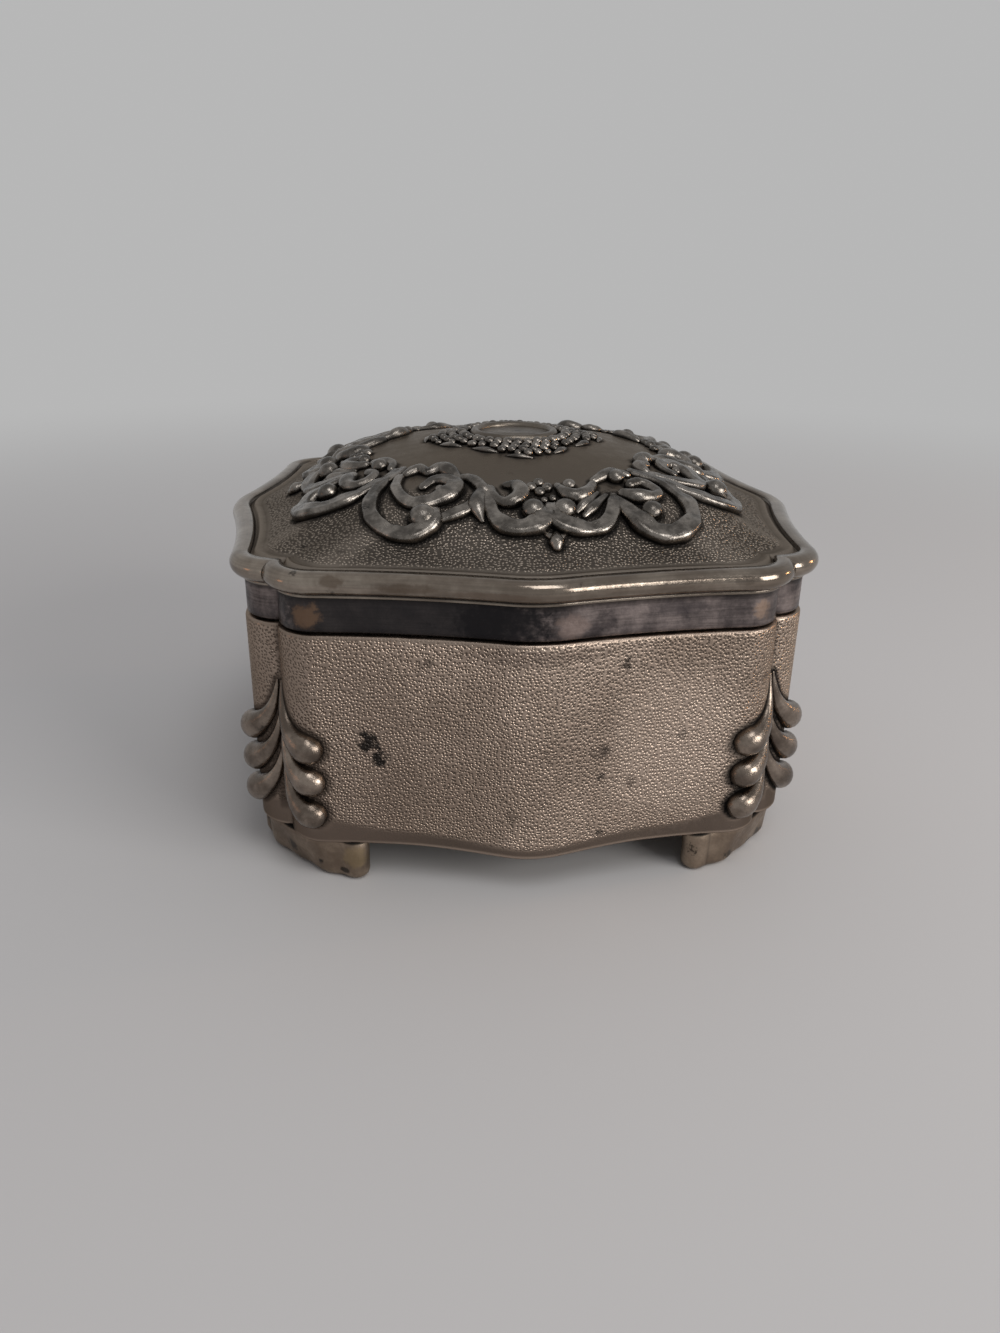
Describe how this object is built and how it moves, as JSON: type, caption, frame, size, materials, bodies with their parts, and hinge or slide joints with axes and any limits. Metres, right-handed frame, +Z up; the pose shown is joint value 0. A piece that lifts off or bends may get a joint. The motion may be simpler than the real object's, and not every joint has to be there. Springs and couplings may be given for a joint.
{
  "type": "trinket box",
  "caption": "Square footed trinket box with bowed sides, notched corners and a domed, hinged lid; cast in metal with a pebbled face, a polished bead and raised scrolls, lined with velvet.",
  "frame": {"origin": "on the table surface under the middle of the box, where the feet rest at z = 0", "axes": "+Z up; +X to the right and -Y to the front, as seen by someone facing the front; the hinge is at the back, towards +Y"},
  "size_m": [0.1142, 0.1142, 0.0733],
  "materials": {
    "wall_metal": "satin",
    "plate_metal": "satin",
    "foot_metal": "satin",
    "rim_metal": "satin",
    "dome_metal": "satin",
    "hinge_metal": "satin",
    "velvet": "matte"
  },
  "bodies": {
    "base": {"body_wall": "wall_metal", "base_plate": "plate_metal", "foot_front_left": "foot_metal", "foot_front_right": "foot_metal", "foot_rear_left": "foot_metal", "foot_rear_right": "foot_metal", "lining_front": "velvet", "lining_right": "velvet", "lining_rear": "velvet", "lining_left": "velvet", "floor_pad": "velvet", "hinge_leaf_body": "hinge_metal", "hinge_pin": "hinge_metal"},
    "lid": {"lid_rim": "rim_metal", "lid_dome": "dome_metal", "hinge_leaf_lid": "hinge_metal", "lid_pad": "velvet"}
  },
  "joints": [
    {"name": "lid_hinge", "type": "hinge", "parent": "base", "child": "lid", "pos_m": [0, 0.05595, 0.048], "axis": [-1, 0, 0], "range_deg": [0, 100]}
  ]
}
